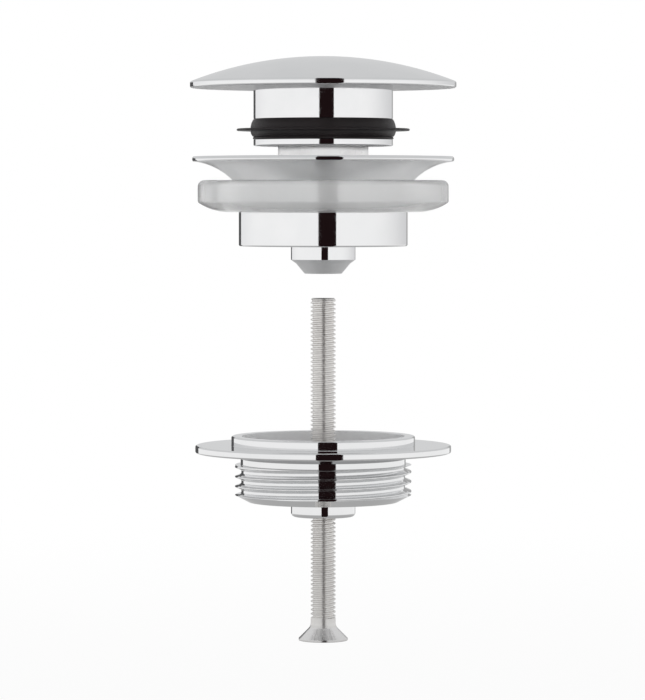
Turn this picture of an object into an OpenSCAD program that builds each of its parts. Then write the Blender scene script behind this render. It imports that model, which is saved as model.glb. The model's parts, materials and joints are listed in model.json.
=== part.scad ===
// Push-open basin waste: a sprung plug over a flanged body, clamped by one long screw to a threaded tail.
// Lengths are in millimetres. Z = 0 is the underside of the basin seal, and +Z points up out of the basin.

/* [Layout] */
// Height of the open plug above its closed place
plug_travel = 10.6; // [9:0.1:12]
// Distance from the basin seal down to the tail flange
clamp_gap = 55.3; // [48:0.1:66]
// Free distance between the hub's nose and the tip of the screw
screw_gap = 5.8; // [2:0.1:12]

/* [Plug cap] */
// Diameter of the cap
cap_d = 63; // [58:0.5:70]
// Radius of the domed top
cap_dome_r = 86; // [65:1:120]
// Height of the upright edge
cap_edge_h = 1.5; // [0.7:0.1:2]
// Thickness of the domed shell
cap_wall = 1.8; // [1.2:0.1:2.4]
// Rounding of the upright edge
cap_edge_round = 0.45; // [0.1:0.05:0.5]
// Diameter of the boss under the dome
cap_boss_d = 16; // [12:0.5:20]
// Height of the boss's face above the lower edge
cap_boss_lift = 2.6; // [1.2:0.1:2.8]
// Thickness of the gasket under the boss
gasket_t = 0.7; // [0.4:0.1:1.2]

/* [Plug sleeve] */
// Outer diameter of the sleeve
sleeve_d = 33; // [31:0.2:34]
// Wall of the sleeve
sleeve_wall = 1.5; // [1.2:0.1:2]
// Length of the sleeve below the cap's lower edge
sleeve_reach = 13.8; // [13:0.1:16]
// Thickness of the web that closes the sleeve
web_t = 1.2; // [0.8:0.1:1.6]

/* [Plug seal] */
// Diameter of the sealing lip
lip_d = 41; // [39:0.2:43]
// Thickness of the sealing lip
lip_t = 0.55; // [0.4:0.05:0.8]
// Distance from the cap's lower edge down to the lip
lip_to_cap = 10.15; // [9.5:0.05:11]
// Height of the seal's band above the lip's underside
band_above = 2.75; // [2:0.05:3.4]
// Height of the seal's band below the lip's underside
band_below = 1.95; // [1.2:0.05:2.4]
// How far the band stands out of the sleeve
band_proud = 0.7; // [0.3:0.05:0.9]
// Height of the ring at the band's lower end
band_ring_h = 0.6; // [0.4:0.05:0.8]
// How far that ring stands out of the sleeve
band_ring_proud = 0.15; // [0.05:0.05:0.25]
// Depth of the nick between the ring and the band
band_nick = 0.25; // [0.15:0.05:0.35]
// Depth of the groove that holds the band
band_groove = 0.6; // [0.4:0.05:0.8]

/* [Push mechanism] */
// Wire of the return spring
spring_wire = 0.9; // [0.7:0.05:1.1]
// Turns of the return spring
spring_turns = 8; // [6:1:10]
// Wall of the hollow post inside the spring
post_wall = 1.2; // [0.9:0.1:1.6]
// Wall of the plunger's spindle, which carries the cam
spindle_wall = 0.9; // [0.8:0.05:1.2]
// Step from the spindle out to the plunger
plunger_step = 0.8; // [0.6:0.05:1]
// Solid height at the top of the plunger
plunger_top_t = 4.5; // [4.2:0.1:5.5]
// Height of the turning cam
cam_h = 2.4; // [1.8:0.1:2.8]
// Wall of the turning cam's ring
cam_wall = 1.3; // [1.1:0.05:1.6]
// How far the cam's lugs stand out of its ring
lug_reach = 1.1; // [0.8:0.05:1.3]
// Width of one lug in degrees
lug_angle = 22; // [16:1:26]
// Number of lugs, guide ribs and cam tracks
lug_count = 4; // [3:1:4]
// Turn of the cam over the plug's travel, in degrees
cam_turn = 40; // [30:1:45]
// Turn of the cam into the rest at the foot of its track, in degrees
latch_angle = 9; // [6:1:12]
// Wall of the cartridge housing
housing_wall = 1.8; // [1.7:0.05:2.2]
// Floor of the cartridge housing
floor_t = 1; // [0.8:0.1:1.6]
// Height of the collar that closes the housing
collar_h = 1.6; // [1.2:0.1:2]
// How far the collar is let into the housing's wall
collar_bite = 0.6; // [0.4:0.05:0.8]
// Width of a guide rib on the plunger
rib_w = 2; // [1.5:0.1:2.6]
// How far a guide rib stands out of the plunger
rib_reach = 0.6; // [0.4:0.05:0.7]
// Height of the cam's open clip
clip_h = 0.7; // [0.5:0.05:0.9]
// Depth of the clip's groove in the spindle
clip_bite = 0.45; // [0.3:0.05:0.5]
// Opening of the clip in degrees
clip_opening = 40; // [30:5:60]
// Plunger left below the clip's groove
clip_land = 0.7; // [0.5:0.05:1]
// Diameter of the threaded stud that joins cap and plunger
stud_d = 6; // [5:0.5:8]
// Length of stud screwed into the plunger
stud_hold = 2.8; // [2:0.1:2.9]

/* [Upper body] */
// Diameter of the body that stands in the basin's hole
body_d = 40; // [38.6:0.1:41]
// Length of the body below the basin seal
body_h = 8.1; // [7:0.1:10]
// Diameter of the water way through the body
throat_d = 36.6; // [35.6:0.1:37.2]
// Diameter of the neck inside the basin seal
neck_d = 41.8; // [41.2:0.1:43]
// Height of the neck inside the basin seal
neck_h = 6.86; // [6:0.02:8]
// Diameter of the flange
flange_d = 62; // [58:0.5:68]
// Thickness of the flange
flange_t = 1.2; // [1:0.05:1.6]
// Rise of the flare from the neck to the flange's edge
flare_rise = 5.1; // [4:0.1:6]
// How far the centre of the flare's curve lies outside the flange's edge
flare_lead = 1.2; // [0.5:0.1:2]

/* [Hubs and spokes] */
// Diameter of both hubs
hub_d = 15.3; // [14.6:0.1:17]
// Length of the upper hub below the body
hub_drop = 3.2; // [2:0.1:4]
// Diameter at the top of the upper hub's nose
nose_top_d = 12.8; // [11:0.1:14]
// Diameter at the end of the upper hub's nose
nose_end_d = 8.8; // [7.5:0.1:10]
// Length of the upper hub's nose
nose_h = 2.4; // [1.5:0.1:3]
// Height of the bevel above the nose
nose_bevel_h = 0.9; // [0.5:0.1:1.4]
// Diameter of the spigot that carries the cartridge
spigot_d = 13; // [12.4:0.1:14]
// Wire of the grip ring around the spigot
grip_wire = 1.6; // [1.2:0.1:1.8]
// Number of spokes in each spider
spoke_count = 4; // [3:1:4]
// Width of a spoke
spoke_w = 3; // [2:0.1:4]
// Height of a spoke in the upper body
spoke_h = 4.6; // [3:0.1:5.5]

/* [Basin seal] */
// Outer diameter of the seal
basin_seal_d = 59.4; // [56:0.2:60]
// Height of the seal
basin_seal_h = 7.5; // [6.5:0.1:8.5]
// Rounding of the upper edge
basin_seal_round = 1.5; // [0.5:0.1:2]
// Diameter of the flat part of the underside
basin_seal_flat_d = 45; // [43.5:0.5:50]
// Rise of the curved underside out to the seal's edge
basin_seal_rise = 2.3; // [1:0.1:3]

/* [Tail] */
// Diameter of the ring above the tail flange
tail_ring_d = 43.6; // [42.8:0.1:46]
// Height of the ring above the tail flange
tail_ring_h = 2.2; // [1.5:0.1:3]
// Diameter of the tail flange
tail_flange_d = 60.7; // [56:0.1:66]
// Thickness of the tail flange
tail_flange_t = 1.8; // [1.4:0.1:2.6]
// Outside diameter of the tail thread, G 1 1/4
thread_d = 41.91; // [40.6:0.01:43]
// Length of the tail thread
thread_h = 7.2; // [5:0.1:14]
// Diameter of the run-out above the thread
relief_d = 39.2; // [38:0.1:40]
// Height of the run-out above the thread
relief_h = 2.8; // [2:0.1:5]
// Diameter of the water way through the tail
tail_bore_d = 34; // [32:0.1:35]
// Diameter of the wider mouth at the top
tail_mouth_d = 38.6; // [36:0.1:39.6]
// Depth of the wider mouth
tail_mouth_h = 3.9; // [2.5:0.1:4.5]
// Height of the bevel at the lower end
tail_bevel_h = 1.6; // [0.8:0.1:2]
// Wall left at the lower end of the bevel
tail_bevel_wall = 0.9; // [0.5:0.1:1.5]
// Length of the tail hub below the tail
tail_hub_drop = 3.6; // [2.5:0.1:5]
// Height of a spoke in the tail
tail_spoke_h = 4; // [3:0.1:6]
// Height of the spokes above the tail's lower end
tail_spoke_lift = 0.7; // [0.2:0.1:1.5]

/* [Clamp screw] */
// Outside diameter of the screw
screw_d = 5.9; // [5.4:0.1:6.4]
// Length of the screw
screw_len = 81.4; // [60:0.1:100]
// Diameter of the countersunk head
head_d = 11.7; // [11:0.1:12.4]
// Height of the head's upright edge
head_land = 0.5; // [0.3:0.1:0.8]
// Bevel at the tip
tip_bevel = 0.7; // [0.3:0.1:1.2]
// Width of one arm of the cross recess
recess_w = 1.2; // [0.8:0.1:1.6]
// Length of the cross recess
recess_len = 6; // [4:0.1:7]
// Depth of the cross recess
recess_h = 2.2; // [1.4:0.1:2.4]

/* [Fits] */
// Radial clearance of a turning or sliding fit
running_fit = 0.1; // [0.04:0.01:0.1]
// Clearance of a piece that is seated in another
seat_fit = 0.05; // [0.02:0.01:0.1]
// Clearance between pieces that pass each other
moving_gap = 0.3; // [0.2:0.05:0.4]
// Clearance at the ends of the plug's travel
end_gap = 0.5; // [0.3:0.05:0.8]
// Radial clearance of the screw in its plain holes
screw_room = 0.35; // [0.25:0.05:0.5]
// Gap between the closed lip and its seat
lip_gap = 0.35; // [0.2:0.05:0.5]
// Clearance between the flare and the basin seal
flare_fit = 0.1; // [0.05:0.05:0.2]

/* [Hidden] */
$fn = 96;
edge_steps = 5;
small_round = 0.4;
hub_round = 0.9;
overlap = 1;
rim_share = 0.7;
rim_sweep = 80;
spoke_start = 45;
notch_room = 0.15;

// Radii of the outer pieces
cap_r = cap_d / 2;
boss_r = cap_boss_d / 2;
sleeve_r = sleeve_d / 2;
lip_r = lip_d / 2;
body_r = body_d / 2;
throat_r = throat_d / 2;
neck_r = neck_d / 2;
flange_r = flange_d / 2;
hub_r = hub_d / 2;
spigot_r = spigot_d / 2;
tail_ring_r = tail_ring_d / 2;
thread_r = thread_d / 2;
tail_bore_r = tail_bore_d / 2;
screw_r = screw_d / 2;
head_r = head_d / 2;
stud_r = stud_d / 2;

// Radii of the mechanism, from the screw outwards
screw_hole_r = screw_r + running_fit;
post_hole_r = screw_r + screw_room + running_fit;
post_r = post_hole_r + post_wall;
coil_r = post_r + moving_gap + running_fit + spring_wire / 2;
plunger_bore_r = coil_r + spring_wire / 2 + moving_gap + running_fit;
spindle_r = plunger_bore_r + spindle_wall;
plunger_r = spindle_r + plunger_step;
cam_bore_r = spindle_r + running_fit;
cam_r = cam_bore_r + cam_wall;
lug_r = cam_r + lug_reach;
lug_root_r = cam_r - cam_wall / 2;
housing_bore_r = cam_r + moving_gap;
housing_r = housing_bore_r + housing_wall;
track_r = lug_r + moving_gap;
collar_bore_r = plunger_r + running_fit;
collar_r = housing_bore_r + collar_bite;
rib_r = plunger_r + rib_reach;
clip_groove_r = spindle_r - clip_bite;
clip_r = spindle_r + plunger_step;

// The flare's curve, through the top of the neck and the underside of the flange's edge
flare_x = flange_r + flare_lead;
flare_sum = ((flare_x - neck_r) ^ 2 - flare_lead ^ 2) / flare_rise;
flare_r = sqrt(((flare_sum + flare_rise) / 2) ^ 2 + flare_lead ^ 2);
flare_z = neck_h - (flare_sum - flare_rise) / 2;
// The flare's wall is at least so thick that its upper face reaches in to the throat
flare_wall = max(flange_t, flare_x - throat_r - flare_r);
flare_top_r = flare_r + flare_wall;
function seat_height(r) = flare_z + sqrt(flare_top_r ^ 2 - (flare_x - r) ^ 2);
rim_round = flare_wall * rim_share;
rim_x = flange_r - rim_round;
rim_z = flare_z + sqrt((flare_r + flare_wall / 2) ^ 2 - (flare_x - rim_x) ^ 2);

// Heights of the plug, standing open above its seat
lip_z = seat_height(lip_r) + lip_gap + plug_travel;
cap_z = lip_z + lip_to_cap;
dome_z = cap_z + cap_edge_h - sqrt(cap_dome_r ^ 2 - cap_r ^ 2);
dome_bore_r = cap_dome_r - cap_wall;
// The upright edge is rounded into the dome
edge_round = min(cap_edge_round, cap_edge_h / 2);
edge_x = cap_r - edge_round;
edge_z = dome_z + sqrt((cap_dome_r - edge_round) ^ 2 - edge_x ^ 2);
edge_sweep = atan2(edge_z - dome_z, edge_x);
stud_top_z = dome_z + dome_bore_r;
boss_z = cap_z + cap_boss_lift;
web_top_z = boss_z - gasket_t;
gasket_round = gasket_t / 4;
web_z = web_top_z - web_t;
sleeve_z = cap_z - sleeve_reach;
sleeve_top_z = dome_z + sqrt(dome_bore_r ^ 2 - sleeve_r ^ 2) - flare_fit;
band_z = lip_z - band_below;
band_top_z = lip_z + band_above;

// Heights of the mechanism, worked down from the web
ceiling_z = web_z - plunger_top_t;
stud_z = web_z - stud_hold;
housing_top_z = web_z - plug_travel - end_gap;
collar_z = housing_top_z - collar_h;
cam_top_z = collar_z - moving_gap;
cam_z = cam_top_z - cam_h;
shoulder_z = cam_top_z + running_fit;
clip_top_z = cam_z - running_fit;
clip_z = clip_top_z - clip_h;
plunger_z = clip_z - clip_land;
floor_z = plunger_z - plug_travel - end_gap;
post_top_z = ceiling_z - plug_travel - end_gap;
spring_top_z = ceiling_z - running_fit;
track_z = cam_z - plug_travel - moving_gap;
cam_middle_z = (cam_z + cam_top_z) / 2;
cam_rate = cam_turn / plug_travel;
track_step = 1.4;
track_fn = 16;
track_angle = lug_angle + 2 * moving_gap / lug_r * 180 / PI;
// Turn of a lug's middle when it stands at the foot of its track
track_foot_angle = 180 / lug_count + cam_turn;

// Heights of the upper body's spider and hub
spoke_z = -body_h;
hub_top_z = spoke_z + spoke_h;
hub_z = spoke_z - hub_drop;
nose_top_z = hub_z - nose_bevel_h;
nose_z = nose_top_z - nose_h;
housing_z = hub_top_z + running_fit;
spigot_top_z = floor_z - floor_t - running_fit;
grip_r = spigot_r + seat_fit - grip_wire / 2;
grip_groove_r = grip_r - grip_wire / 2 - seat_fit;
grip_z = (hub_top_z + spigot_top_z) / 2;
grip_groove_h = grip_wire + 2 * running_fit;

// The basin seal's underside is an arc that is level where it leaves the flat part
basin_seal_r = basin_seal_d / 2;
basin_seal_flat_r = basin_seal_flat_d / 2;
basin_seal_arc_r = ((basin_seal_r - basin_seal_flat_r) ^ 2 + basin_seal_rise ^ 2) / (2 * basin_seal_rise);

// Heights of the tail, from its flange down
tail_top_z = -clamp_gap + tail_ring_h;
tail_flange_z = -clamp_gap - tail_flange_t;
thread_top_z = tail_flange_z - relief_h;
thread_z = thread_top_z - thread_h;
tail_z = thread_z - tail_bevel_h;
tail_hub_z = tail_z - tail_hub_drop;
tail_spoke_z = tail_z + tail_spoke_lift;
tail_hub_top_z = tail_spoke_z + tail_spoke_h;
tail_screw_hole_r = screw_r + screw_room;
sink_r = head_r + screw_room;

// Heights of the screw
tip_z = nose_z - screw_gap;
head_z = tip_z - screw_len;

// Points along an arc of the given radius, from angle a to angle b
function arc(x, y, radius, a, b, steps = edge_steps) = [
    for (i = [0 : steps])
        let (t = a + (b - a) * i / steps)
            [x + radius * cos(t), y + radius * sin(t)]
];

// Radius of a barrelled side that falls back by the given depth over the given height
function barrel_radius(height, depth) = (height ^ 2 + depth ^ 2) / (2 * depth);

// Height of the spring's centre line above its first point, with closed turns at both ends
spring_steps = 20;
spring_sides = 8;
spring_end_turns = 1;
spring_count = spring_turns * spring_steps;
spring_rise = spring_top_z - floor_z - spring_wire;
end_pitch = spring_wire + running_fit;
open_pitch = (spring_rise - 2 * spring_end_turns * end_pitch) / (spring_turns - 2 * spring_end_turns);
function coil_height(turn) =
    turn < spring_end_turns ? turn * end_pitch
    : turn > spring_turns - spring_end_turns ? spring_rise - (spring_turns - turn) * end_pitch
    : spring_end_turns * end_pitch + (turn - spring_end_turns) * open_pitch;

// A turned ring between two radii and two heights, with its outer edges rounded
module turned_ring(r_in, r_out, z_low, z_high, round) {
    rotate_extrude()
        polygon(concat(
            [[r_in, z_low]],
            arc(r_out - round, z_low + round, round, -90, 0),
            arc(r_out - round, z_high - round, round, 0, 90),
            [[r_in, z_high]]
        ));
}

// Copies of a piece, evenly spaced around the axis
module around(count, first = 0) {
    for (i = [0 : count - 1])
        rotate([0, 0, first + i * 360 / count])
            children();
}

// Slanting bars between two radii, which wind round the axis at the cam's rate
module helical_bars(r_in, r_out, angle, z_low, z_high) {
    height = z_high - z_low;
    steps = ceil(height / track_step);
    around(lug_count, 180 / lug_count + cam_rate * (cam_middle_z - z_low))
        translate([0, 0, z_low])
            linear_extrude(height = height, twist = cam_rate * height, slices = steps, $fn = track_fn)
                polygon(concat(
                    arc(0, 0, r_out, -angle / 2, angle / 2),
                    arc(0, 0, r_in, angle / 2, -angle / 2, 1)
                ));
}

// Straight spokes from a hub out into a wall
module spider(r_in, r_out, z_low, height) {
    around(spoke_count, spoke_start)
        translate([r_in, -spoke_w / 2, z_low])
            cube([r_out - r_in, spoke_w, height]);
}

// Domed cap: a thin shell with an upright edge and a boss for the stud
module plug_cap() {
    color("silver")
        rotate_extrude()
            difference() {
                intersection() {
                    translate([0, dome_z])
                        circle(cap_dome_r);
                    polygon(concat(
                        [[0, cap_z]],
                        arc(edge_x, cap_z + edge_round, edge_round, -90, 0),
                        arc(edge_x, edge_z, edge_round, 0, edge_sweep),
                        [[cap_r, dome_z + cap_dome_r], [0, dome_z + cap_dome_r]]
                    ));
                }
                difference() {
                    translate([0, dome_z])
                        circle(dome_bore_r);
                    translate([0, boss_z])
                        square([boss_r, cap_dome_r]);
                }
                translate([0, cap_z - overlap])
                    square([stud_r + seat_fit, stud_top_z + running_fit - cap_z + overlap]);
            }
}

// Threaded stud that holds the cap to the plunger
module cap_stud() {
    color("darkgray")
        turned_ring(0, stud_r, stud_z, stud_top_z, small_round);
}

// Flat gasket between the sleeve's web and the cap's boss
module cap_gasket() {
    color("dimgray")
        turned_ring(stud_r + overlap, boss_r, web_top_z, boss_z, gasket_round);
}

// Bright sleeve around the mechanism, with a web at the top and a groove for the seal
module plug_sleeve() {
    inner_r = sleeve_r - sleeve_wall;
    groove_r = sleeve_r - band_groove;
    color("gainsboro")
        rotate_extrude()
            polygon(concat(
                [[inner_r, sleeve_z]],
                arc(sleeve_r - small_round, sleeve_z + small_round, small_round, -90, 0),
                [
                    [sleeve_r, band_z - seat_fit], [groove_r, band_z - seat_fit],
                    [groove_r, band_top_z + seat_fit], [sleeve_r, band_top_z + seat_fit],
                    [sleeve_r, sleeve_top_z], [inner_r, sleeve_top_z],
                    [inner_r, web_top_z], [stud_r + 2 * seat_fit, web_top_z],
                    [stud_r + 2 * seat_fit, web_z], [inner_r, web_z]
                ]
            ));
}

// Barrelled rubber band in the sleeve's groove, with a thin lip that closes on the flare
module plug_seal() {
    root_r = sleeve_r - band_groove + seat_fit;
    band_r = sleeve_r + band_proud;
    ring_r = sleeve_r + band_ring_proud;
    ring_z = band_z + band_ring_h;
    low_r = barrel_radius(lip_z - ring_z, band_r - ring_r);
    high_z = lip_z + lip_t;
    high_r = barrel_radius(band_top_z - high_z, band_proud);
    color("black")
        rotate_extrude()
            polygon(concat(
                [
                    [root_r, band_z], [ring_r, band_z],
                    [ring_r, ring_z - band_nick], [ring_r - band_nick, ring_z]
                ],
                arc(band_r - low_r, lip_z, low_r, -asin((lip_z - ring_z) / low_r), 0),
                arc(lip_r - lip_t / 2, lip_z + lip_t / 2, lip_t / 2, -90, 90),
                arc(band_r - high_r, high_z, high_r, 0, asin((band_top_z - high_z) / high_r)),
                [[root_r, band_top_z]]
            ));
}

// Hollow plunger: guide ribs above, and a thinner spindle below that carries the cam
module plunger() {
    color("whitesmoke") {
        rotate_extrude()
            polygon([
                [plunger_bore_r, plunger_z], [spindle_r, plunger_z],
                [spindle_r, clip_z - seat_fit], [clip_groove_r, clip_z - seat_fit],
                [clip_groove_r, clip_top_z + seat_fit], [spindle_r, clip_top_z + seat_fit],
                [spindle_r, shoulder_z], [plunger_r, shoulder_z],
                [plunger_r, web_z], [stud_r + seat_fit, web_z],
                [stud_r + seat_fit, stud_z - running_fit], [0, stud_z - running_fit],
                [0, ceiling_z], [plunger_bore_r, ceiling_z]
            ]);
        around(lug_count)
            translate([plunger_r - plunger_step / 2, -rib_w / 2, shoulder_z])
                cube([rib_r - plunger_r + plunger_step / 2, rib_w, web_z - shoulder_z]);
    }
}

// Cam that turns on the spindle, its slanting lugs running in the housing's tracks
module cam_rotor() {
    color("tan") {
        turned_ring(cam_bore_r, cam_r, cam_z, cam_top_z, small_round / 2);
        helical_bars(lug_root_r, lug_r, lug_angle, cam_z + running_fit, cam_top_z - running_fit);
    }
}

// Open spring clip below the cam
module rotor_clip() {
    color("silver")
        rotate([0, 0, clip_opening / 2])
            rotate_extrude(angle = 360 - clip_opening)
                translate([clip_groove_r + seat_fit, clip_z])
                    square([clip_r - clip_groove_r - seat_fit, clip_h]);
}

// Return spring between the housing's floor and the plunger
module return_spring() {
    ring = [for (s = [0 : spring_sides - 1]) s * 360 / spring_sides];
    points = [
        for (i = [0 : spring_count], a = ring)
            let (turn = i / spring_steps, r = coil_r + spring_wire / 2 * cos(a))
                [
                    r * cos(turn * 360), r * sin(turn * 360),
                    floor_z + spring_wire / 2 + coil_height(turn) + spring_wire / 2 * sin(a)
                ]
    ];
    sides = [
        for (i = [0 : spring_count - 1], s = [0 : spring_sides - 1])
            let (a = i * spring_sides, next = (s + 1) % spring_sides)
                [a + s, a + spring_sides + s, a + spring_sides + next, a + next]
    ];
    first_end = [for (s = [0 : spring_sides - 1]) s];
    last_end = [for (s = [spring_sides - 1 : -1 : 0]) spring_count * spring_sides + s];
    color("lightgray")
        polyhedron(points, concat(sides, [first_end, last_end]));
}

// Rest at the foot of each track, where the cam's lug turns in under a ledge
module track_rests() {
    around(lug_count, track_foot_angle)
        rotate_extrude(angle = track_angle / 2 + latch_angle)
            translate([lug_root_r, track_z + running_fit])
                square([track_r - running_fit - lug_root_r, cam_h + 2 * moving_gap]);
}

// Housing of the push mechanism: a socket over the spigot, a hollow post and slanting cam tracks
module cartridge_housing() {
    color("white")
        difference() {
            rotate_extrude()
                polygon(concat(
                    [[spigot_r + running_fit, housing_z]],
                    arc(housing_r - small_round, housing_z + small_round, small_round, -90, 0),
                    arc(housing_r - small_round, housing_top_z - small_round, small_round, 0, 90),
                    [
                        [collar_r + seat_fit, housing_top_z], [collar_r + seat_fit, collar_z],
                        [housing_bore_r, collar_z], [housing_bore_r, floor_z],
                        [post_r, floor_z], [post_r, post_top_z],
                        [post_hole_r, post_top_z], [post_hole_r, floor_z - floor_t],
                        [spigot_r + running_fit, floor_z - floor_t]
                    ]
                ));
            helical_bars(lug_root_r, track_r, track_angle, track_z, collar_z);
            track_rests();
        }
}

// Collar that closes the housing, notched for the plunger's ribs
module cartridge_collar() {
    color("lightgray")
        difference() {
            turned_ring(collar_bore_r, collar_r, collar_z, housing_top_z, small_round / 2);
            around(lug_count)
                translate([0, -rib_w / 2 - notch_room, collar_z - overlap])
                    cube([rib_r + 2 * running_fit, rib_w + 2 * notch_room, collar_h + 2 * overlap]);
        }
}

// Rubber ring that grips the cartridge on the spigot
module grip_o_ring() {
    color("black")
        rotate_extrude()
            translate([grip_r, grip_z])
                circle(grip_wire / 2);
}

// Section of the upper body's wall: the body, the neck and the flare with its rounded edge
module upper_wall_section() {
    polygon(concat(
        [[throat_r, -body_h]],
        arc(body_r - small_round, -body_h + small_round, small_round, -90, 0),
        [[body_r, 0], [neck_r, 0], [neck_r, neck_h / 2], [throat_r, neck_h / 2]]
    ));
    intersection() {
        translate([flare_x, flare_z])
            circle(flare_top_r);
        union() {
            translate([throat_r, 0])
                square([neck_r - throat_r, neck_h + flare_wall / 2]);
            difference() {
                polygon(concat(
                    [[throat_r, 0], [rim_x, 0]],
                    arc(rim_x, rim_z, rim_round, -rim_sweep, rim_sweep, 2 * edge_steps),
                    [[rim_x, rim_z + flare_r], [throat_r, rim_z + flare_r]]
                ));
                translate([flare_x, flare_z])
                    circle(flare_r);
            }
        }
    }
}

// Flanged body with a spider that holds the hub, the spigot above it and its nose below
module upper_body() {
    color("silver") {
        rotate_extrude()
            upper_wall_section();
        rotate_extrude()
            polygon([
                [screw_hole_r, nose_z], [nose_end_d / 2, nose_z],
                [nose_top_d / 2, nose_top_z], [hub_r, hub_z], [hub_r, hub_top_z],
                [spigot_r, hub_top_z], [spigot_r, grip_z - grip_groove_h / 2],
                [grip_groove_r, grip_z - grip_groove_h / 2], [grip_groove_r, grip_z + grip_groove_h / 2],
                [spigot_r, grip_z + grip_groove_h / 2], [spigot_r, spigot_top_z - small_round],
                [spigot_r - small_round, spigot_top_z], [screw_hole_r, spigot_top_z]
            ]);
        spider(hub_r - overlap, throat_r + (body_r - throat_r) / 2, spoke_z, spoke_h);
    }
}

// Soft seal under the flare, flat below and curved up to its edge
module basin_seal() {
    color("white", 0.6)
        rotate_extrude()
            difference() {
                intersection() {
                    polygon(concat(
                        [[neck_r + seat_fit, 0], [basin_seal_r, 0]],
                        arc(basin_seal_r - basin_seal_round, basin_seal_h - basin_seal_round,
                            basin_seal_round, 0, 90),
                        [[neck_r + seat_fit, basin_seal_h]]
                    ));
                    translate([flare_x, flare_z])
                        circle(flare_r - flare_fit);
                }
                difference() {
                    translate([basin_seal_flat_r, -overlap])
                        square([basin_seal_r, basin_seal_rise + overlap]);
                    translate([basin_seal_flat_r, basin_seal_arc_r])
                        circle(basin_seal_arc_r);
                }
            }
}

// Threaded tail with its flange, and a spider that holds the screw's hub
module tail_body() {
    tail_end_r = tail_bore_r + tail_bevel_wall;
    relief_r = relief_d / 2;
    tail_edge_x = tail_flange_d / 2 - small_round;
    color("silver")
        difference() {
            union() {
                rotate_extrude()
                    polygon(concat(
                        [[tail_bore_r, tail_z], [tail_end_r, tail_z]],
                        [[thread_r, thread_z], [thread_r, thread_top_z]],
                        [[relief_r, thread_top_z], [relief_r, tail_flange_z - relief_h / 2]],
                        [[thread_r - small_round, tail_flange_z]],
                        arc(tail_edge_x, tail_flange_z + small_round, small_round, -90, 0),
                        arc(tail_edge_x, -clamp_gap - small_round, small_round, 0, 90),
                        [[tail_ring_r, -clamp_gap]],
                        arc(tail_ring_r - small_round, tail_top_z - small_round, small_round, 0, 90),
                        [
                            [tail_mouth_d / 2, tail_top_z], [tail_mouth_d / 2, tail_top_z - tail_mouth_h],
                            [tail_bore_r, tail_top_z - tail_mouth_h]
                        ]
                    ));
                rotate_extrude()
                    polygon(concat(
                        [[tail_screw_hole_r, tail_hub_z]],
                        arc(hub_r - hub_round, tail_hub_z + hub_round, hub_round, -90, 0),
                        [[hub_r, tail_hub_top_z], [tail_screw_hole_r, tail_hub_top_z]]
                    ));
                spider(hub_r - overlap, tail_bore_r + tail_bevel_wall / 2, tail_spoke_z, tail_spoke_h);
            }
            rotate_extrude()
                polygon([
                    [0, tail_hub_z - overlap], [sink_r + overlap, tail_hub_z - overlap],
                    [0, tail_hub_z + sink_r]
                ]);
        }
}

// Long countersunk screw with a cross recess
module clamp_screw() {
    cone_z = head_z + head_land;
    color("darkgray")
        difference() {
            rotate_extrude()
                polygon([
                    [0, head_z], [head_r, head_z], [head_r, cone_z],
                    [screw_r, cone_z + head_r - screw_r], [screw_r, tip_z - tip_bevel],
                    [screw_r - tip_bevel, tip_z], [0, tip_z]
                ]);
            for (turn = [0, 90])
                rotate([0, 0, turn])
                    translate([-recess_len / 2, -recess_w / 2, head_z - overlap])
                        cube([recess_len, recess_w, recess_h + overlap]);
        }
}

plug_cap();
cap_stud();
cap_gasket();
plug_sleeve();
plug_seal();
plunger();
cam_rotor();
rotor_clip();
return_spring();
cartridge_housing();
cartridge_collar();
grip_o_ring();
upper_body();
basin_seal();
tail_body();
clamp_screw();
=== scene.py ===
"""Push-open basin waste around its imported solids: turned metal, cut threads, soft seals, white studio."""

import json
import math

import bmesh
import bpy
import numpy as np
from mathutils import Matrix, Vector


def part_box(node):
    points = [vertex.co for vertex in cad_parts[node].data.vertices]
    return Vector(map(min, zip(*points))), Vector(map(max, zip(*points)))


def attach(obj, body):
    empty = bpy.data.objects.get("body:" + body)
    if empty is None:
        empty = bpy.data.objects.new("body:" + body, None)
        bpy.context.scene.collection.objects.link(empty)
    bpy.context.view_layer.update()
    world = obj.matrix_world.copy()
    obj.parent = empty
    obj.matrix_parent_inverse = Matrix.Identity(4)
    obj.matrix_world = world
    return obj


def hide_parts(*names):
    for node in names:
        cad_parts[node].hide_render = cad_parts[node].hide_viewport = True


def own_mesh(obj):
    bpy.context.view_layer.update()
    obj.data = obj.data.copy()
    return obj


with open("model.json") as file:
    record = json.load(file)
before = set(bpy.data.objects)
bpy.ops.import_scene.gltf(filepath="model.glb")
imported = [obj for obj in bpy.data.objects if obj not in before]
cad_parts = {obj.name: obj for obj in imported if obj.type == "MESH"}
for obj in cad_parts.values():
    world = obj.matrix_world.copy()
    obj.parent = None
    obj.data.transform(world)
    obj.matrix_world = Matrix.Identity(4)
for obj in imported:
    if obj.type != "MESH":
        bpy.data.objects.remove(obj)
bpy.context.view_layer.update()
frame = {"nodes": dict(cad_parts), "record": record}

MM = 0.001
DEGREES = 180 / math.pi

# Turning
SEGMENTS = 192
SCREW_SEGMENTS = 64
SECTION_ANGLE = math.radians(7.3)
SAME_POINT = 1e-7
SAME_RADIUS = 0.02 * MM
SHORT_SHARE = 0.35
STRAIGHT_TURN = math.radians(0.6)
CORNER_TURN = math.radians(25)
FILLET_STEPS = 4
FILLET_SHARE = 0.4
SMALL_NORMAL = 1e-12
METAL_EDGE = 0.12 * MM
SOFT_EDGE = 0.2 * MM
SEAL_EDGE = 1.2 * MM
INNER_SLOPE = 0.5
SLOPE_STEP = 0.02 * MM

# Places in a piece's list of finishes
INNER_FINISH = 1
UNDER_FINISH = 2

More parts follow.
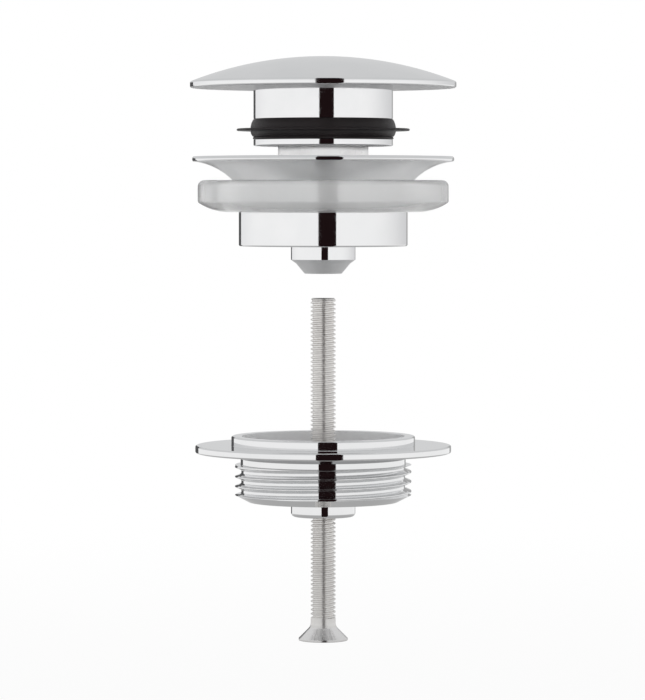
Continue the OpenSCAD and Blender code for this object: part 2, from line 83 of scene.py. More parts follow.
# Spiders of the upper body and the tail
SPOKE_COUNT = 4
SPOKE_TURN = math.radians(45)
SPOKE_WIDTH = 3 * MM
SPOKE_EDGE = 0.4 * MM
SPOKE_EDGE_STEPS = 3
SPOKE_LONG_SHARE = 0.9
ROUND_PROFILE = 0.5
SPOKE_SUNK = 0.5 * MM
HUB_RADIUS = 7.65 * MM
NOSE_TOP = -11.3 * MM
UPPER_SPOKES = {"wall": 18.3 * MM, "low": -8.1 * MM, "high": -3.5 * MM}
TAIL_SPOKES = {"wall": 17.0 * MM, "low": -68.0 * MM, "high": -64.0 * MM}

# Threads
TAIL_PITCH = 25.4 / 11 * MM
TAIL_DEPTH = 1.5 * MM
TAIL_ROOT = 0.25
TAIL_CREST = 0.06
TAIL_START = 0.75 * MM
TAIL_FADE = TAIL_PITCH / 4
SCREW_PITCH = 1.0 * MM
SCREW_DEPTH = 0.5 * MM
SCREW_ROOT = 0.3
SCREW_CREST = 0.25
ROWS_PER_PITCH = 36
SCREW_ROWS_PER_PITCH = 12
RUN_SLACK = 1 * MM

# Clamp screw
SCREW_RADIUS = 2.95 * MM
HEAD_LAND = 0.5 * MM
NECK_ROUND = 1.9 * MM
TIP_BEVEL = 0.35 * MM
SCREW_PLAIN = 2.0 * MM
RECESS_WIDTH = 1.2 * MM
RECESS_LENGTH = 6.0 * MM
RECESS_DEPTH = 2.2 * MM
RECESS_LENGTH_TAPER = 0.45
RECESS_WIDTH_TAPER = 0.8

# Return spring
COIL_RADIUS = 5.45 * MM
WIRE_RADIUS = 0.45 * MM
COIL_TURNS = 8
END_PITCH = 1.0 * MM
SPRING_STEPS = 48
SPRING_SIDES = 14

# Camera, from the photograph's frame
IMAGE_WIDTH = 645
IMAGE_HEIGHT = 700
PIXEL = 0.2372 * MM
AXIS_COLUMN = 323.2
ORIGIN_ROW = 212
HORIZON_ROW = 195
CAMERA_DISTANCE = 0.90
SENSOR = 36.0
CLIP_START = 0.01
CLIP_END = 50

# Finishes
CLOUD_SCALE = 90
CLOUD_DETAIL = 3
NOISE_SPAN = (0.3, 0.7)

# Sockets of a mix node that blends colours
MIX_FIRST = 6
MIX_SECOND = 7
MIX_RESULT = 2

# Nodes that show as they were packed, and their materials
PLAIN_NODES = {
    "cap_stud": "bright_steel",
    "cap_gasket": "black_rubber",
    "plunger": "white_plastic",
    "cam_rotor": "cream_plastic",
    "rotor_clip": "bright_steel",
    "cartridge_housing": "white_plastic",
    "cartridge_collar": "white_plastic",
    "grip_o_ring": "black_rubber",
}

# Studio: lengths in metres, spans of the walls and the ceiling in degrees
FLOOR_DROP = 30 * MM
FLOOR_SIZE = 8.0
FLOOR_REACH = (0.1, 0.7)
# To metal the floor shows a painted shadow of the part: grey near it, bright further out.
FLOOR_SHADOW_GREYS = (0.42, 0.95)
FLOOR_WHITE = 0.94
PAPER = (0.8, 0.8, 0.8)
WHITE = (1.0, 1.0, 1.0)
WALL_RIGHT = (0.66, 0.66, 0.67)
RIGHT_SPAN = (60, 175)
WALL_LEFT = (0.86, 0.86, 0.87)
LEFT_SPAN = (-100, -160)
CEILING = (0.655, 0.66, 0.665)
CEILING_SPAN = (1.9, 3.6)
LIGHT_WALL = (0.3, 0.3, 0.3)
LIGHT_CEILING = (0.16, 0.16, 0.16)
LIGHT_SPAN = (8, 20)

# Dark cards: they stand between two turns, in degrees from the front
FLAG_STEPS = 12
FLAG_LIFT = 1 * MM
FRONT_FLAG = {
    "turns": (-6.4, 17.2), "reach": 0.6, "top": 0.9, "tone": (0.012, 0.006, 0.0065), "foot": 0.04,
}
LEFT_FLAG = {"turns": (-172.5, -149), "reach": 0.45, "top": 0.046, "tone": (0.09, 0.09, 0.092)}
RIGHT_FLAG = {"turns": (156, 172.5), "reach": 0.45, "top": 0.046, "tone": (0.4, 0.4, 0.4)}

# Lamps: places and sizes in metres, powers in watts, turns in degrees from the front
LIGHT_AIM = (0, 0, -0.03)
KEY_PLACE = (-0.9, -0.6, 1.1)
KEY_SIZE = 0.7
KEY_POWER = 2
FILL_TURNS = {"front_fill": 3, "right_fill": 123, "left_fill": -117}
FILL_REACH = 2.0
FILL_HEIGHT = 0.2
FILL_SIZE = 0.3
FILL_POWER = 26


def outline_points(node):
    """Outlines (radius, height) of a turned node, where a half plane from the axis cuts its mesh."""
    mesh = frame["nodes"][node].data
    mesh.calc_loop_triangles()
    points = np.array([v.co for v in mesh.vertices])
    radius = np.hypot(points[:, 0], points[:, 1])
    c, s = math.cos(SECTION_ANGLE), math.sin(SECTION_ANGLE)
    along = points[:, 0] * c + points[:, 1] * s
    side = points[:, 1] * c - points[:, 0] * s
    height = points[:, 2]

    def crossing(i, j):
        """Where an edge meets the plane, in whole steps; a round wall's edge counts at full radius."""
        t = side[i] / (side[i] - side[j])
        if along[i] + t * (along[j] - along[i]) < -SAME_POINT:
            return None
        level = abs(height[i] - height[j]) < SAME_POINT
        near = math.dist(points[i], points[j]) < SHORT_SHARE * max(radius[i], radius[j])
        if level and not (near and abs(radius[i] - radius[j]) < SAME_POINT):
            r = along[i] + t * (along[j] - along[i])
        else:
            r = radius[i] + t * (radius[j] - radius[i])
        z = height[i] + t * (height[j] - height[i])
        return (round(max(r, 0) / SAME_POINT), round(z / SAME_POINT))

    links = {}
    for triangle in mesh.loop_triangles:
        corners = list(triangle.vertices)
        ends = []
        for i, j in zip(corners, corners[1:] + corners[:1]):
            if (side[i] >= 0) != (side[j] >= 0):
                ends.append(crossing(min(i, j), max(i, j)))
        if len(ends) == 2 and None not in ends and ends[0] != ends[1]:
            links.setdefault(ends[0], set()).add(ends[1])
            links.setdefault(ends[1], set()).add(ends[0])
    return [np.array(chain) * SAME_POINT for chain in chains(links)]


def chains(links):
    """Follows linked points into chains: first those with open ends, then the closed ones."""
    left = set(links)
    found = []
    for start in sorted(links, key=lambda p: (len(links[p]) != 1, p)):
        if start not in left:
            continue
        chain = [start]
        left.discard(start)
        while True:
            onward = [p for p in links[chain[-1]] if p in left]
            if not onward:
                break
            chain.append(min(onward))
            left.discard(chain[-1])
        if len(chain) > 2:
            found.append(chain)
    return found


def turn_angles(points, closed):
    """Turn of the outline at each point, in radians."""
    before = points - np.roll(points, 1, axis=0)
    after = np.roll(points, -1, axis=0) - points
    turn = np.arctan2(after[:, 1], after[:, 0]) - np.arctan2(before[:, 1], before[:, 0])
    turn = (turn + math.pi) % (2 * math.pi) - math.pi
    if not closed:
        turn[[0, -1]] = 0
    return turn


def signed_area(points):
    r, z = points[:, 0], points[:, 1]
    return 0.5 * float(np.sum(r * np.roll(z, -1) - np.roll(r, -1) * z))


def tidy_outline(points, edge):
    """Turns the outline anticlockwise, drops points on straight stretches and rounds its corners."""
    closed = not on_axis(points)
    if signed_area(points) < 0:
        points = points[::-1]
    keep = np.abs(turn_angles(points, closed)) > STRAIGHT_TURN
    if not closed:
        keep[[0, -1]] = True
    points = points[keep]
    turns = turn_angles(points, closed)
    rounded = []
    count = len(points)
    for i in range(count):
        if abs(turns[i]) < CORNER_TURN:
            rounded.append(points[i])
            continue
        rounded.extend(fillet(points[i - 1], points[i], points[(i + 1) % count], edge))
    return np.array(rounded), closed


def on_axis(points):
    return min(points[0][0], points[-1][0]) < SAME_RADIUS


def fillet(before, corner, after, edge):
    """Points of an arc that rounds one corner, no larger than its two sides allow."""
    a = before - corner
    b = after - corner
    reach_a, reach_b = np.linalg.norm(a), np.linalg.norm(b)
    a, b = a / reach_a, b / reach_b
    half = 0.5 * math.acos(max(-1, min(1, float(a @ b))))
    cut = min(edge / math.tan(half), FILLET_SHARE * reach_a, FILLET_SHARE * reach_b)
    radius = cut * math.tan(half)
    middle = (a + b) / np.linalg.norm(a + b)
    centre = corner + middle * radius / math.sin(half)
    first = corner + a * cut - centre
    last = corner + b * cut - centre
    start = math.atan2(first[1], first[0])
    sweep = (math.atan2(last[1], last[0]) - start + math.pi) % (2 * math.pi) - math.pi
    angles = start + sweep * np.linspace(0, 1, FILLET_STEPS + 1)
    return list(centre + radius * np.stack([np.cos(angles), np.sin(angles)], axis=1))


def outline_normals(points, closed):
    """Outward normals at the outline's points; the longer of two stretches counts for more."""
    step = np.roll(points, -1, axis=0) - points
    if not closed:
        step[-1] = step[-2]
    normal = np.stack([step[:, 1], -step[:, 0]], axis=1)
    previous = np.roll(normal, 1, axis=0)
    if not closed:
        previous[0] = normal[0]
    total = normal + previous
    length = np.linalg.norm(total, axis=1, keepdims=True)
    return total / np.maximum(length, SMALL_NORMAL)


def split_run(points, low, high, radius, step):
    """Adds points, about a step apart, to the straight runs at the given radius between two heights."""
    out = []
    count = len(points)
    for i in range(count):
        p, q = points[i], points[(i + 1) % count]
        out.append(p)
        upright = max(abs(p[0] - radius), abs(q[0] - radius)) < SAME_RADIUS
        inside = min(p[1], q[1]) > low - RUN_SLACK and max(p[1], q[1]) < high + RUN_SLACK
        if upright and inside and p[1] != q[1]:
            rows = max(round(abs(q[1] - p[1]) / step), 1)
            out.extend(p + (q - p) * t for t in np.linspace(0, 1, rows + 1)[1:-1])
    return np.array(out)


def lathe(outlines, segments=SEGMENTS, shape=None, plain_below=-math.inf, under=0):
    """One mesh that turns each (outline, closed) about the axis; shape(r, z, angle) may move a radius.

    Faces that look inwards and all those below a height take the inner finish, those that look down take
    the one given by its place, and the others take the first.
    """
    angles = 2 * math.pi * np.arange(segments) / segments
    verts, faces, finish, normals = [], [], [], []
    for points, closed in outlines:
        rows = []
        flat = outline_normals(points, closed)
        for (r, z), (n, up) in zip(points, flat):
            row = []
            pole = r < SAME_POINT
            for angle in angles[:1] if pole else angles:
                c, s = math.cos(angle), math.sin(angle)
                moved = r if shape is None else shape(r, z, angle)
                facing = (0, 0, math.copysign(1, up)) if pole else (n * c, n * s, up)
                if moved != r:
                    facing = relief_normal(shape, r, z, angle)
                row.append(len(verts))
                verts.append((moved * c, moved * s, z))
                normals.append(facing)
            rows.append(row)
        for k in range(len(rows) if closed else len(rows) - 1):
            band = band_faces(rows[k], rows[(k + 1) % len(rows)], segments)
            faces.extend(band)
            run, rise = points[(k + 1) % len(rows)] - points[k]
            slope = INNER_SLOPE * math.hypot(run, rise)
            plain = rise < -slope or points[k][1] + max(rise, 0) < plain_below
            outer = under if run > slope else 0
            finish.extend([INNER_FINISH if plain else outer] * len(band))
    mesh = bpy.data.meshes.new("turned")
    mesh.from_pydata(verts, [], faces)
    mesh.polygons.foreach_set("use_smooth", [True] * len(mesh.polygons))
    mesh.polygons.foreach_set("material_index", finish)
    mesh.normals_split_custom_set_from_vertices(normals)
    return mesh


def relief_normal(shape, r, z, angle):
    """Normal of a wall whose radius is moved by shape, from its slopes along the axis and around it."""
    radius = shape(r, z, angle)
    along = (shape(r, z + SLOPE_STEP, angle) - shape(r, z - SLOPE_STEP, angle)) / (2 * SLOPE_STEP)
    turn = SLOPE_STEP / radius
    around = (shape(r, z, angle + turn) - shape(r, z, angle - turn)) / (2 * SLOPE_STEP)
    c, s = math.cos(angle), math.sin(angle)
    return Vector((c + around * s, s - around * c, -along)).normalized()


def band_faces(low, high, segments):
    """Faces between two rows of a turned outline, a fan where one of them is a point on the axis."""
    faces = []
    for j in range(segments):
        n = (j + 1) % segments
        if len(low) == 1:
            faces.append((low[0], high[n], high[j]))
        elif len(high) == 1:
            faces.append((low[j], low[n], high[0]))
        else:
            faces.append((low[j], low[n], high[n], high[j]))
    return faces


def ridge(height, angle, pitch, root, crest):
    """Height of a right-hand thread's ridge, from 0 at the root to 1 at the crest.

    root and crest are the shares of the pitch where it is flat.
    """
    phase = (height / pitch - angle / (2 * math.pi)) % 1
    flank = (abs(2 * phase - 1) - root) / (1 - root - crest)
    flank = min(max(flank, 0), 1)
    return flank * flank * (3 - 2 * flank)


def fade(height, low, high, length):
    """1 inside the thread and 0 at its ends."""
    inside = min(height - low, high - height) / length
    return min(max(inside, 0), 1)


def add_piece(name, mesh, body, finish, node):
    """A piece that rides on a body and stands for a CAD node; finish lists its materials, outer first."""
    piece = bpy.data.objects.new(name, mesh)
    bpy.context.scene.collection.objects.link(piece)
    for slot in finish:
        mesh.materials.append(materials[slot])
    if len(finish) == 1:
        mesh.polygons.foreach_set("material_index", [0] * len(mesh.polygons))
    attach(piece, body)
    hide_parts(node)
    return piece


def turned_piece(node, name, body, finish, edge, under=0):
    """A smooth turned piece with rounded edges, from the outline of its node."""
    outlines = [tidy_outline(p, edge) for p in outline_points(node)]
    add_piece(name, lathe(outlines, under=under), body, finish, node)


def joined(*meshes):
    """One mesh from several, each a closed shell."""
    made = bmesh.new()
    for mesh in meshes:
        made.from_mesh(mesh)
    result = meshes[0].copy()
    made.to_mesh(result)
    made.free()
    return result


def spoke_mesh(spokes):
    """Bevelled bars from the hub out into the wall."""
    made = bmesh.new()
    length = spokes["wall"] - HUB_RADIUS + 2 * SPOKE_SUNK
    middle = (spokes["wall"] + HUB_RADIUS) / 2
    centre_z = (spokes["low"] + spokes["high"]) / 2
    for i in range(SPOKE_COUNT):
        bar = bmesh.ops.create_cube(made, size=1)["verts"]
        bmesh.ops.scale(made, vec=(length, SPOKE_WIDTH, spokes["high"] - spokes["low"]), verts=bar)
        bmesh.ops.translate(made, vec=(middle, 0, centre_z), verts=bar)
        turn = SPOKE_TURN + i * 2 * math.pi / SPOKE_COUNT
        bmesh.ops.rotate(made, cent=(0, 0, 0), matrix=rotation_z(turn), verts=bar)
    along = [e for e in made.edges if e.calc_length() > length * SPOKE_LONG_SHARE]
    bmesh.ops.bevel(
        made, geom=along, affect="EDGES",
        offset=SPOKE_EDGE, segments=SPOKE_EDGE_STEPS, profile=ROUND_PROFILE,
    )
    for face in made.faces:
        face.material_index = INNER_FINISH
    mesh = bpy.data.meshes.new("spokes")
    made.to_mesh(mesh)
    made.free()
    return mesh


def rotation_z(angle):
    c, s = math.cos(angle), math.sin(angle)
    return Matrix(((c, -s, 0), (s, c, 0), (0, 0, 1)))


def tree_of(material):
    material.use_nodes = True
    tree = material.node_tree
    tree.nodes.clear()
    return tree


def add_node(tree, kind, **sockets):
    """A shader node with the given input values; spaces in socket names are written as underscores."""
    made = tree.nodes.new("ShaderNode" + kind)
    for name, value in sockets.items():
        made.inputs[name.replace("_", " ")].default_value = value
    return made


def noise(tree, scale, detail):
    """Noise over the piece's own coordinates, as a value from 0 to 1."""
    where = add_node(tree, "TexCoord")
    made = add_node(tree, "TexNoise", Scale=scale, Detail=detail)
    tree.links.new(where.outputs["Object"], made.inputs["Vector"])
    return made.outputs["Fac"]


def remap(tree, value, start, end, low=0, high=1):
    """Maps values between start and end smoothly to the range from low to high."""
    made = add_node(tree, "MapRange", From_Min=start, From_Max=end, To_Min=low, To_Max=high)
    made.interpolation_type = "SMOOTHSTEP"
    tree.links.new(value, made.inputs["Value"])
    return made.outputs["Result"]


def blend(tree, mask, first, second):
    """The first colour where the mask is 0, the second where it is 1; each is a tone or a node's output."""
    made = tree.nodes.new("ShaderNodeMix")
    made.data_type = "RGBA"
    tree.links.new(mask, made.inputs["Factor"])
    for socket, colour in ((made.inputs[MIX_FIRST], first), (made.inputs[MIX_SECOND], second)):
        if isinstance(colour, tuple):
            socket.default_value = (*colour, 1)
        else:
            tree.links.new(colour, socket)
    return made.outputs[MIX_RESULT]


def bump(tree, value, strength, distance):
    made = add_node(tree, "Bump", Strength=strength, Distance=distance)
    tree.links.new(value, made.inputs["Height"])
    return made.outputs["Normal"]


def surface(colours, rough, grain, relief, **sockets):
    """A material whose colour and roughness vary with soft noise, with a fine relief from grain.

    colours and rough are the two ends of each variation, grain is (scale, detail), and relief is
    (strength, distance).
    """
    material = bpy.data.materials.new("surface")
    tree = tree_of(material)
    shader = add_node(tree, "BsdfPrincipled", **sockets)
    cloud = noise(tree, CLOUD_SCALE, CLOUD_DETAIL)
    fine = noise(tree, *grain)
    tree.links.new(blend(tree, remap(tree, cloud, *NOISE_SPAN), *colours), shader.inputs["Base Color"])
    tree.links.new(remap(tree, fine, *NOISE_SPAN, *rough), shader.inputs["Roughness"])
    tree.links.new(bump(tree, fine, *relief), shader.inputs["Normal"])
    output = add_node(tree, "OutputMaterial")
    tree.links.new(shader.outputs["BSDF"], output.inputs["Surface"])
    return material


def make_materials():
    """Every material of the part by name: the slots of the record and the finishes beside them."""
    made = {
        "chrome_plate": surface(
            ((0.84, 0.845, 0.85), (0.87, 0.87, 0.875)), (0.03, 0.07), (400, 4), (0.05, 2e-6), Metallic=1.0,
        ),
        "satin_chrome": surface(
            ((0.84, 0.845, 0.85), (0.90, 0.90, 0.905)), (0.5, 0.62), (900, 5), (0.2, 5e-6), Metallic=1.0,
        ),
        "soft_chrome": surface(
            ((0.84, 0.845, 0.85), (0.90, 0.90, 0.905)), (0.28, 0.36), (900, 5), (0.2, 5e-6), Metallic=1.0,
        ),
        # The tail's inside: a rougher cast finish, and a colour lighter than the chrome's that paints light
        # into its shaded hollows.
        "satin_cast_painted_light": surface(
            ((0.95, 0.95, 0.955), (0.985, 0.985, 0.985)), (0.38, 0.48), (900, 5), (0.2, 5e-6), Metallic=1.0,
        ),
        "zinc_steel": surface(
            ((0.87, 0.85, 0.83), (0.94, 0.925, 0.905)), (0.3, 0.38), (700, 2), (0.03, 1e-6), Metallic=1.0,
        ),
        "smooth_zinc": surface(
            ((0.90, 0.89, 0.885), (0.95, 0.94, 0.935)), (0.18, 0.24), (700, 2), (0.03, 1e-6), Metallic=1.0,
        ),
        "bright_steel": surface(
            ((0.60, 0.60, 0.60), (0.68, 0.68, 0.68)), (0.2, 0.32), (1500, 5), (0.2, 1e-5), Metallic=1.0,
        ),
        "spring_steel": surface(
            ((0.50, 0.50, 0.51), (0.60, 0.60, 0.61)), (0.18, 0.3), (2500, 4), (0.2, 1e-5), Metallic=1.0,
        ),
        "black_rubber": surface(
            ((0.008, 0.006, 0.0065), (0.015, 0.012, 0.0125)), (0.38, 0.52), (1800, 6), (0.3, 2e-5),
            Specular_IOR_Level=0.35,
        ),
        "clear_silicone": surface(
            ((0.96, 0.965, 0.965), (0.99, 0.99, 0.99)), (0.17, 0.24), (300, 2), (0.05, 5e-6),
            IOR=1.41, Transmission_Weight=0.7,
        ),
        "white_plastic": surface(
            ((0.905, 0.90, 0.90), (0.925, 0.92, 0.92)), (0.26, 0.34), (700, 2), (0.05, 2e-6),
            Coat_Weight=0.15, Coat_Roughness=0.12,
        ),
        "cream_plastic": surface(
            ((0.70, 0.64, 0.51), (0.76, 0.70, 0.58)), (0.3, 0.42), (1200, 4), (0.15, 1e-5),
        ),
    }
    for name, material in made.items():
        material.name = name
    return made


def upper_body_piece(finish):
    """The flared body: its turned wall and hub, joined by spokes."""
    outlines = [tidy_outline(p, METAL_EDGE) for p in outline_points("upper_body")]
    turned = lathe(outlines, plain_below=NOSE_TOP, under=UNDER_FINISH)
    mesh = joined(turned, spoke_mesh(UPPER_SPOKES))
    add_piece("flared_body", mesh, "basin_body", finish, "upper_body")


def tail_piece(finish):
    """The tail: turned wall and hub, spokes, and a thread cut where the record places it."""
    mount = next(m for m in frame["record"]["mounts"] if m["name"] == "trap_thread")
    radius = mount["dims"]["r_mm"] * MM
    reach = mount["dims"]["length_mm"] * MM / 2
    low, high = mount["pos_m"][2] - reach, mount["pos_m"][2] + reach

    def cut(r, z, angle):
        if abs(r - radius) > SAME_RADIUS or not low < z < high:
            return r
        depth = TAIL_DEPTH * fade(z, low, high, TAIL_FADE)
        return r - depth * (1 - ridge(z - TAIL_START, angle, TAIL_PITCH, TAIL_ROOT, TAIL_CREST))

    outlines = []
    for points in outline_points("tail_body"):
        tidy, closed = tidy_outline(points, METAL_EDGE)
        outlines.append((split_run(tidy, low, high, radius, TAIL_PITCH / ROWS_PER_PITCH), closed))
    mesh = joined(lathe(outlines, shape=cut), spoke_mesh(TAIL_SPOKES))
    add_piece("threaded_tail", mesh, "tail", finish, "tail_body")


def screw_piece(finish):
    """The countersunk screw: a head with a cross recess and a threaded shank."""
    low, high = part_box("clamp_screw")
    head_z, tip_z, head_r = low.z, high.z, high.x
    cone_z = head_z + HEAD_LAND
    neck_z = cone_z + head_r - SCREW_RADIUS
    thread_z = neck_z + SCREW_PLAIN
    rim, neck, thread = np.array([(head_r, cone_z), (SCREW_RADIUS, neck_z), (SCREW_RADIUS, thread_z)])
    head = np.array([
        (0, head_z), (head_r, head_z), rim,
        *fillet(rim, neck, thread, NECK_ROUND), thread, (0, thread_z),
    ])
    shank = np.array([
        (0, neck_z), (SCREW_RADIUS - SCREW_DEPTH / 2, neck_z), (SCREW_RADIUS, thread_z - SCREW_PITCH),
        (SCREW_RADIUS, tip_z - TIP_BEVEL), (SCREW_RADIUS - TIP_BEVEL, tip_z), (0, tip_z),
    ])

    def cut(r, z, angle):
        if abs(r - SCREW_RADIUS) > SAME_RADIUS:
            return r
        depth = SCREW_DEPTH * fade(z, thread_z - SCREW_PITCH, tip_z, SCREW_PITCH)
        return r - depth * (1 - ridge(z, angle, SCREW_PITCH, SCREW_ROOT, SCREW_CREST))

    step = SCREW_PITCH / SCREW_ROWS_PER_PITCH
    threaded = split_run(shank, thread_z - SCREW_PITCH, tip_z, SCREW_RADIUS, step)
    turned_head = lathe([tidy_outline(head, METAL_EDGE)], plain_below=neck_z)
    mesh = joined(recessed(turned_head), lathe([(threaded, False)], SCREW_SEGMENTS, cut))
    add_piece("countersunk_screw", mesh, "screw", finish, "clamp_screw")


def recessed(head):
    """Cuts the cross recess into the underside of the screw's head."""
    low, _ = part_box("clamp_screw")
    cutter_mesh = bmesh.new()
    for turn in (0, math.pi / 2):
        arm = bmesh.ops.create_cube(cutter_mesh, size=1)["verts"]
        bmesh.ops.scale(cutter_mesh, vec=(RECESS_LENGTH, RECESS_WIDTH, 2 * RECESS_DEPTH), verts=arm)
        for v in arm:
            if v.co.z > 0:
                v.co.x *= RECESS_LENGTH_TAPER
                v.co.y *= RECESS_WIDTH_TAPER
        bmesh.ops.rotate(cutter_mesh, cent=(0, 0, 0), matrix=rotation_z(turn), verts=arm)
    bmesh.ops.translate(cutter_mesh, vec=(0, 0, low.z), verts=cutter_mesh.verts)
    mesh = bpy.data.meshes.new("recess")
    cutter_mesh.to_mesh(mesh)
    cutter_mesh.free()
    cutter = bpy.data.objects.new("recess", mesh)
    target = bpy.data.objects.new("head", head)
    for made in (cutter, target):
        bpy.context.scene.collection.objects.link(made)
    cut = target.modifiers.new("recess", "BOOLEAN")
    cut.operation = "DIFFERENCE"
    cut.solver = "EXACT"
    cut.use_self = True
    cut.object = cutter
    evaluated = target.evaluated_get(bpy.context.evaluated_depsgraph_get())
    shaped = bpy.data.meshes.new_from_object(evaluated)
    for made in (cutter, target):
        bpy.data.objects.remove(made)
    return shaped


def spring_piece(finish):
    """The return spring, a swept wire with closed ends."""
    low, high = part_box("return_spring")
    rise = high.z - low.z - 2 * WIRE_RADIUS
    open_pitch = (rise - 2 * END_PITCH) / (COIL_TURNS - 2)
    verts, faces = [], []
    count = COIL_TURNS * SPRING_STEPS
    for i in range(count + 1):
        turn = i / SPRING_STEPS
        climb = min(turn, 1) * END_PITCH
        climb += min(max(turn - 1, 0), COIL_TURNS - 2) * open_pitch
        climb += max(turn - COIL_TURNS + 1, 0) * END_PITCH
        for s in range(SPRING_SIDES):
            a = 2 * math.pi * s / SPRING_SIDES
            r = COIL_RADIUS + WIRE_RADIUS * math.cos(a)
            z = low.z + WIRE_RADIUS + climb + WIRE_RADIUS * math.sin(a)
            verts.append((r * math.cos(2 * math.pi * turn), r * math.sin(2 * math.pi * turn), z))
    for i in range(count):
        for s in range(SPRING_SIDES):
            a, b = i * SPRING_SIDES, (s + 1) % SPRING_SIDES
            faces.append((a + s, a + SPRING_SIDES + s, a + SPRING_SIDES + b, a + b))
    faces.append(tuple(range(SPRING_SIDES)))
    faces.append(tuple(count * SPRING_SIDES + s for s in reversed(range(SPRING_SIDES))))
    mesh = bpy.data.meshes.new("spring")
    mesh.from_pydata(verts, [], faces)
    mesh.polygons.foreach_set("use_smooth", [len(f) == 4 for f in faces])
    made = bmesh.new()
    made.from_mesh(mesh)
    bmesh.ops.recalc_face_normals(made, faces=made.faces)
    made.to_mesh(mesh)
    made.free()
    piece = add_piece("coil_spring", mesh, "cartridge", finish, "return_spring")
    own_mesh(piece)


def dress_node(name, slot):
    """Gives a CAD node that stays as it is its material."""
    mesh = frame["nodes"][name].data
    mesh.materials.clear()
    mesh.materials.append(materials[slot])


def make_camera():
    """A long lens at the photograph's height, looking slightly down along +Y."""
    data = bpy.data.cameras.new("camera")
    data.sensor_fit = "VERTICAL"
    data.sensor_height = SENSOR
    camera = bpy.data.objects.new("camera", data)
    bpy.context.scene.collection.objects.link(camera)
    drop = (IMAGE_HEIGHT / 2 - HORIZON_ROW) * PIXEL
    pitch = math.atan2(drop, CAMERA_DISTANCE)
    reach = math.hypot(drop, CAMERA_DISTANCE)
    data.lens = SENSOR * reach / (IMAGE_HEIGHT * PIXEL)
    data.clip_start = CLIP_START
    data.clip_end = CLIP_END
    side = (IMAGE_WIDTH / 2 - AXIS_COLUMN) * PIXEL
    camera.location = (side, -CAMERA_DISTANCE, (ORIGIN_ROW - HORIZON_ROW) * PIXEL)
    camera.rotation_euler = (math.pi / 2 - pitch, 0, 0)
    bpy.context.scene.camera = camera


def math_node(tree, operation, *values):
    made = tree.nodes.new("ShaderNodeMath")
    made.operation = operation
    for socket, value in zip(made.inputs, values):
        if isinstance(value, (int, float)):
            socket.default_value = value
        else:
            tree.links.new(value, socket)
    return made.outputs[0]


def make_world():
    """A white studio: a wall that dims to the back and a grey ceiling; matt faces get a plain light."""
    world = bpy.data.worlds.new("studio")
    bpy.context.scene.world = world
    world.use_nodes = True
    tree = world.node_tree
    tree.nodes.clear()
    where = add_node(tree, "TexCoord")
    split = add_node(tree, "SeparateXYZ")
    tree.links.new(where.outputs["Generated"], split.inputs["Vector"])
    x, y, z = (split.outputs[i] for i in range(3))
    turn = math_node(tree, "ARCTAN2", x, math_node(tree, "MULTIPLY", y, -1))
    turn = math_node(tree, "MULTIPLY", turn, DEGREES)
    lift = math_node(tree, "MULTIPLY", math_node(tree, "ARCSINE", z), DEGREES)

    wall = blend(tree, remap(tree, turn, *RIGHT_SPAN), WHITE, WALL_RIGHT)
    wall = blend(tree, remap(tree, turn, *LEFT_SPAN), wall, WALL_LEFT)
    wall = blend(tree, remap(tree, lift, *CEILING_SPAN), wall, CEILING)
    light = blend(tree, remap(tree, lift, *LIGHT_SPAN), LIGHT_WALL, LIGHT_CEILING)
    path = add_node(tree, "LightPath")
    clear = math_node(tree, "MAXIMUM", path.outputs["Is Glossy Ray"], path.outputs["Is Transmission Ray"])
    colour = blend(tree, clear, light, wall)
    colour = blend(tree, path.outputs["Is Camera Ray"], colour, WHITE)
    background = add_node(tree, "Background", Strength=1.0)
    tree.links.new(colour, background.inputs["Color"])
    output = add_node(tree, "OutputWorld")
    tree.links.new(background.outputs["Background"], output.inputs["Surface"])


def floor_height():
    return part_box("clamp_screw")[0].z - FLOOR_DROP


def floor_material():
    """Pale paper: nearly white to the camera; to metal it shows a painted shadow of the part, grey near it
    and bright further out.
    """
    material = bpy.data.materials.new("pale_floor")
    tree = tree_of(material)
    paper = add_node(tree, "BsdfDiffuse", Color=(*PAPER, 1))
    where = add_node(tree, "NewGeometry")
    length = tree.nodes.new("ShaderNodeVectorMath")
    length.operation = "LENGTH"
    tree.links.new(where.outputs["Position"], length.inputs[0])
    reach = length.outputs["Value"]
    path = add_node(tree, "LightPath")
    camera = path.outputs["Is Camera Ray"]
    through = path.outputs["Is Transmission Ray"]
    clear = math_node(tree, "MAXIMUM", path.outputs["Is Glossy Ray"], through)
    white = math_node(tree, "MAXIMUM", camera, through)
    glow = add_node(tree, "Emission", Color=(*WHITE, 1))
    # Painted shadow of the part, seen only in metal: grey near it and bright further out.
    strength = math_node(tree, "MAXIMUM", white, remap(tree, reach, *FLOOR_REACH, *FLOOR_SHADOW_GREYS))
    tree.links.new(strength, glow.inputs["Strength"])
    plain = math_node(tree, "MULTIPLY", camera, remap(tree, reach, *FLOOR_REACH, FLOOR_WHITE, 1))
    mix = tree.nodes.new("ShaderNodeMixShader")
    tree.links.new(math_node(tree, "MAXIMUM", plain, clear), mix.inputs[0])
    tree.links.new(paper.outputs["BSDF"], mix.inputs[1])
    tree.links.new(glow.outputs["Emission"], mix.inputs[2])
    output = add_node(tree, "OutputMaterial")
    tree.links.new(mix.outputs["Shader"], output.inputs["Surface"])
    return material


def make_floor():
    """A plain pale floor below the screw."""
    half = FLOOR_SIZE / 2
    height = floor_height()
    corners = [(-half, -half, height), (half, -half, height), (half, half, height), (-half, half, height)]
    mesh = bpy.data.meshes.new("floor")
    mesh.from_pydata(corners, [], [(0, 1, 2, 3)])
    mesh.materials.append(floor_material())
    floor = bpy.data.objects.new("floor", mesh)
    bpy.context.scene.collection.objects.link(floor)


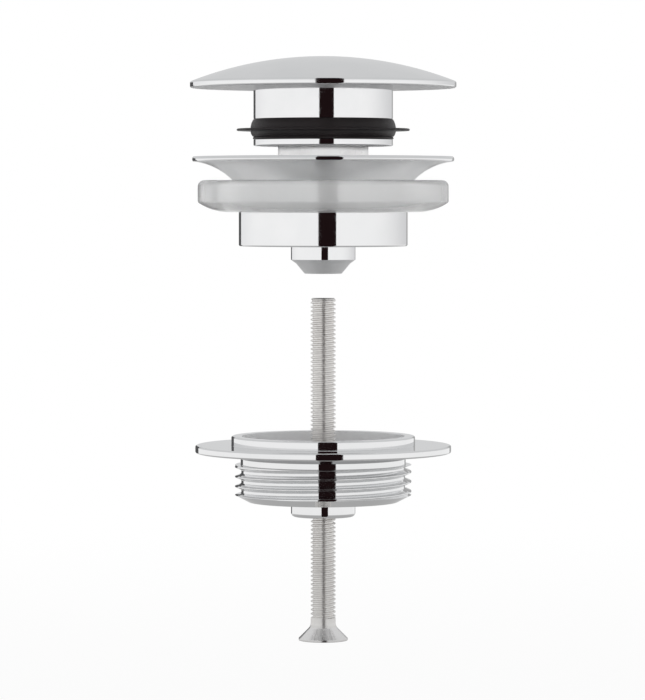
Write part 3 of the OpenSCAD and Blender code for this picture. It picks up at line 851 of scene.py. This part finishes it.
def flag(name, turns, reach, top, tone, foot=None):
    """A dark card that shows only in metal and silicone, upright between two turns.

    foot is how near to the axis it starts along the floor, if part of it lies there.
    """
    material = bpy.data.materials.new(name)
    tree = tree_of(material)
    card = add_node(tree, "Emission", Color=(*tone, 1), Strength=1.0)
    output = add_node(tree, "OutputMaterial")
    tree.links.new(card.outputs["Emission"], output.inputs["Surface"])
    base = floor_height() + FLAG_LIFT
    levels = [(reach, base), (reach, top)]
    if foot is not None:
        levels.insert(0, (foot, base))
    verts, faces = [], []
    for r, z in levels:
        for i in range(FLAG_STEPS + 1):
            turn = math.radians(turns[0] + (turns[1] - turns[0]) * i / FLAG_STEPS)
            verts.append((r * math.sin(turn), -r * math.cos(turn), z))
    for k in range(len(levels) - 1):
        for i in range(FLAG_STEPS):
            a = k * (FLAG_STEPS + 1) + i
            faces.append((a, a + 1, a + FLAG_STEPS + 2, a + FLAG_STEPS + 1))
    mesh = bpy.data.meshes.new(name)
    mesh.from_pydata(verts, [], faces)
    mesh.materials.append(material)
    piece = bpy.data.objects.new(name, mesh)
    piece.visible_camera = False
    piece.visible_diffuse = False
    piece.visible_shadow = False
    bpy.context.scene.collection.objects.link(piece)


def area_light(name, place, size, power):
    """A square soft light aimed at the part, which doesn't show in the metal or through the silicone."""
    data = bpy.data.lights.new(name, "AREA")
    data.size = size
    data.energy = power
    light = bpy.data.objects.new(name, data)
    light.location = place
    light.visible_glossy = False
    light.visible_transmission = False
    aim = Vector(LIGHT_AIM) - Vector(place)
    light.rotation_euler = aim.to_track_quat("-Z", "Y").to_euler()
    bpy.context.scene.collection.objects.link(light)


def make_lights():
    """A soft key light and three fills around the part."""
    area_light("key", KEY_PLACE, KEY_SIZE, KEY_POWER)
    for name, degrees in FILL_TURNS.items():
        turn = math.radians(degrees)
        place = (FILL_REACH * math.sin(turn), -FILL_REACH * math.cos(turn), FILL_HEIGHT)
        area_light(name, place, FILL_SIZE, FILL_POWER)


def build():
    """The studio and every piece of the waste."""
    make_camera()
    make_world()
    make_floor()
    flag("front_flag", **FRONT_FLAG)
    flag("left_flag", **LEFT_FLAG)
    flag("right_flag", **RIGHT_FLAG)
    make_lights()
    bpy.context.scene.view_settings.view_transform = "Standard"

    metal = ("chrome_plate", "satin_chrome")
    turned_piece("plug_cap", "domed_cap", "plug", metal, METAL_EDGE, under=INNER_FINISH)
    turned_piece("plug_sleeve", "bright_sleeve", "plug", metal, METAL_EDGE)
    turned_piece("plug_seal", "lip_seal", "plug", ("black_rubber",), SOFT_EDGE)
    turned_piece("basin_seal", "soft_seal", "basin_body", ("clear_silicone",), SEAL_EDGE)
    upper_body_piece((*metal, "soft_chrome"))
    # Inward faces of the tail take the satin cast, whose lighter colour is painted light in its shaded
    # inside.
    tail_piece(("chrome_plate", "satin_cast_painted_light"))
    screw_piece(("zinc_steel", "smooth_zinc"))
    spring_piece(("spring_steel",))
    for name, slot in PLAIN_NODES.items():
        dress_node(name, slot)


materials = make_materials()
build()
